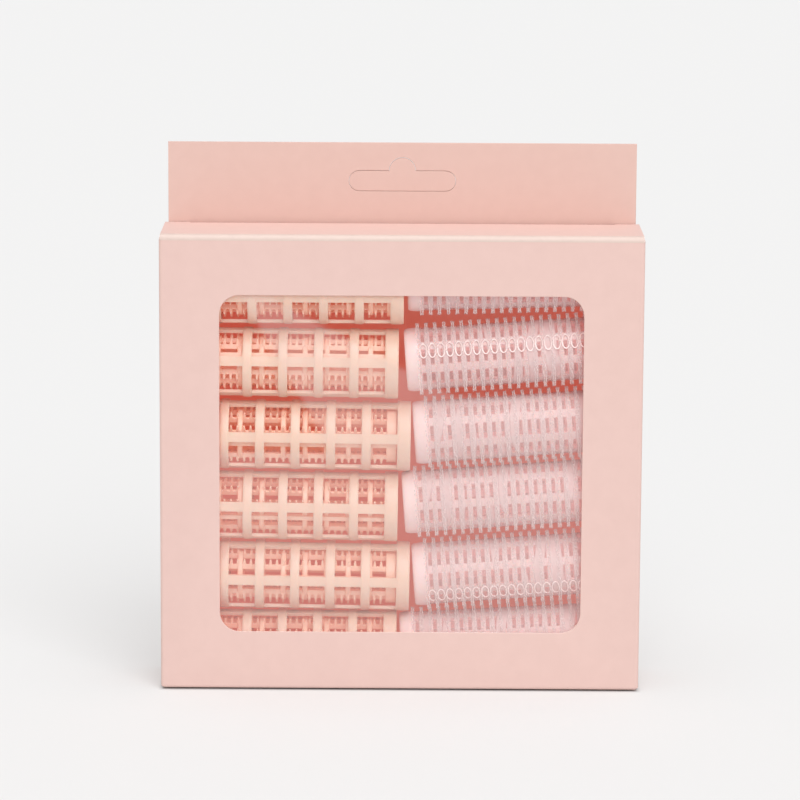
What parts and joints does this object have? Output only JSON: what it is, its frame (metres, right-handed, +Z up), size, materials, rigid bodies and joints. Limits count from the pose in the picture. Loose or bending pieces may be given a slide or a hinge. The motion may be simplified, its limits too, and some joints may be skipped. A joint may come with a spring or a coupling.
{
  "type": "boxed hair roller set",
  "caption": "Window carton with a hinged lid and a hanging tab, packed with one layer of caged comb hair rollers and self-grip hair rollers.",
  "frame": {"origin": "on the ground under the middle of the carton", "axes": "+X to the right seen from the front, front of the carton faces -Y, +Z up"},
  "size_m": [0.135, 0.0274, 0.1522],
  "materials": {
    "card": "matte coated pink card",
    "film": "thin clear plastic film",
    "peach_plastic": "satin moulded peach plastic",
    "pink_plastic": "satin moulded pale pink plastic",
    "hook_tape": "translucent pale pink hook tape"
  },
  "bodies": {
    "carton": {"carton_sleeve": "card", "carton_base": "card", "hang_tab": "card", "slot_knockout": "card", "window_film": "film"},
    "lid": {"lid_panel": "card"},
    "tuck": {"lid_tuck_flap": "card"},
    "dust_left": {"dust_flap_left": "card"},
    "dust_right": {"dust_flap_right": "card"},
    "roller_core_1": {"comb_core_1": "peach_plastic"},
    "roller_cage_1": {"cage_1": "peach_plastic"},
    "roller_core_2": {"comb_core_2": "peach_plastic"},
    "roller_cage_2": {"cage_2": "peach_plastic"},
    "roller_core_3": {"comb_core_3": "peach_plastic"},
    "roller_cage_3": {"cage_3": "peach_plastic"},
    "roller_core_4": {"comb_core_4": "peach_plastic"},
    "roller_cage_4": {"cage_4": "peach_plastic"},
    "roller_core_5": {"comb_core_5": "peach_plastic"},
    "roller_cage_5": {"cage_5": "peach_plastic"},
    "roller_core_6": {"comb_core_6": "peach_plastic"},
    "roller_cage_6": {"cage_6": "peach_plastic"},
    "grip_roller_1": {"grip_core_1": "pink_plastic", "hook_sleeve_1": "hook_tape"},
    "grip_roller_2": {"grip_core_2": "pink_plastic", "hook_sleeve_2": "hook_tape"},
    "grip_roller_3": {"grip_core_3": "pink_plastic", "hook_sleeve_3": "hook_tape"},
    "grip_roller_4": {"grip_core_4": "pink_plastic", "hook_sleeve_4": "hook_tape"},
    "grip_roller_5": {"grip_core_5": "pink_plastic", "hook_sleeve_5": "hook_tape"},
    "grip_roller_6": {"grip_core_6": "pink_plastic", "hook_sleeve_6": "hook_tape"}
  },
  "joints": [
    {"name": "lid_hinge", "type": "hinge", "parent": "carton", "child": "lid", "pos_m": [0, -0.01365, 0.1294], "axis": [1, 0, 0], "range_deg": [0, 150]},
    {"name": "tuck_crease", "type": "hinge", "parent": "lid", "child": "tuck", "pos_m": [0, 0.01115, 0.1289], "axis": [1, 0, 0], "range_deg": [-61, 0]},
    {"name": "dust_left_crease", "type": "hinge", "parent": "carton", "child": "dust_left", "pos_m": [-0.0675, 0, 0.1286], "axis": [0, -1, 0], "range_deg": [0, 76]},
    {"name": "dust_right_crease", "type": "hinge", "parent": "carton", "child": "dust_right", "pos_m": [0.0675, 0, 0.1286], "axis": [0, 1, 0], "range_deg": [0, 76]},
    {"name": "roller_1_spin", "type": "hinge", "parent": "carton", "child": "roller_core_1", "pos_m": [-0.03305, -0.00275, 0.11275], "axis": [1, 0, 0], "continuous": true},
    {"name": "cage_1_slide", "type": "slide", "parent": "roller_core_1", "child": "roller_cage_1", "axis": [1, 0, 0], "range_m": [-0.0024, 0.0002]},
    {"name": "roller_2_spin", "type": "hinge", "parent": "carton", "child": "roller_core_2", "pos_m": [-0.03305, -0.00275, 0.09182], "axis": [1, 0, -0.0087], "continuous": true},
    {"name": "cage_2_slide", "type": "slide", "parent": "roller_core_2", "child": "roller_cage_2", "axis": [1, 0, -0.0087], "range_m": [-0.001, 0.0008]},
    {"name": "roller_3_spin", "type": "hinge", "parent": "carton", "child": "roller_core_3", "pos_m": [-0.03305, -0.00275, 0.07122], "axis": [1, 0, -0.0096], "continuous": true},
    {"name": "cage_3_slide", "type": "slide", "parent": "roller_core_3", "child": "roller_cage_3", "axis": [1, 0, -0.0096], "range_m": [-0.0044, 0]},
    {"name": "roller_4_spin", "type": "hinge", "parent": "carton", "child": "roller_core_4", "pos_m": [-0.03305, -0.00275, 0.05087], "axis": [0.9999, 0, -0.0119], "continuous": true},
    {"name": "cage_4_slide", "type": "slide", "parent": "roller_core_4", "child": "roller_cage_4", "axis": [0.9999, 0, -0.0119], "range_m": [-0.001, 0.0004]},
    {"name": "roller_5_spin", "type": "hinge", "parent": "carton", "child": "roller_core_5", "pos_m": [-0.03305, -0.00275, 0.03082], "axis": [0.9999, 0, -0.0131], "continuous": true},
    {"name": "cage_5_slide", "type": "slide", "parent": "roller_core_5", "child": "roller_cage_5", "axis": [0.9999, 0, -0.0131], "range_m": [-0.0043, 0]},
    {"name": "roller_6_spin", "type": "hinge", "parent": "carton", "child": "roller_core_6", "pos_m": [-0.03305, -0.00275, 0.0107], "axis": [1, 0, -0.0052], "continuous": true},
    {"name": "cage_6_slide", "type": "slide", "parent": "roller_core_6", "child": "roller_cage_6", "axis": [1, 0, -0.0052], "range_m": [-0.0008, 0.0003]},
    {"name": "grip_1_spin", "type": "hinge", "parent": "carton", "child": "grip_roller_1", "pos_m": [0.03274, -0.00275, 0.11643], "axis": [0.9996, 0, 0.0297], "continuous": true},
    {"name": "grip_2_spin", "type": "hinge", "parent": "carton", "child": "grip_roller_2", "pos_m": [0.03236, -0.00275, 0.09494], "axis": [0.9972, 0, 0.075], "continuous": true},
    {"name": "grip_3_spin", "type": "hinge", "parent": "carton", "child": "grip_roller_3", "pos_m": [0.03486, -0.00275, 0.07414], "axis": [0.9972, 0, 0.075], "continuous": true},
    {"name": "grip_4_spin", "type": "hinge", "parent": "carton", "child": "grip_roller_4", "pos_m": [0.03196, -0.00275, 0.05404], "axis": [0.9972, 0, 0.075], "continuous": true},
    {"name": "grip_5_spin", "type": "hinge", "parent": "carton", "child": "grip_roller_5", "pos_m": [0.03486, -0.00275, 0.03314], "axis": [0.9972, 0, 0.075], "continuous": true},
    {"name": "grip_6_spin", "type": "hinge", "parent": "carton", "child": "grip_roller_6", "pos_m": [0.0314, -0.00275, 0.01254], "axis": [0.9984, 0, 0.0558], "continuous": true}
  ],
  "couplings": [
    {"joint": "tuck_crease", "follows": "lid_hinge", "ratio": -0.4},
    {"joint": "dust_left_crease", "follows": "lid_hinge", "ratio": 0.5},
    {"joint": "dust_right_crease", "follows": "lid_hinge", "ratio": 0.5}
  ]
}
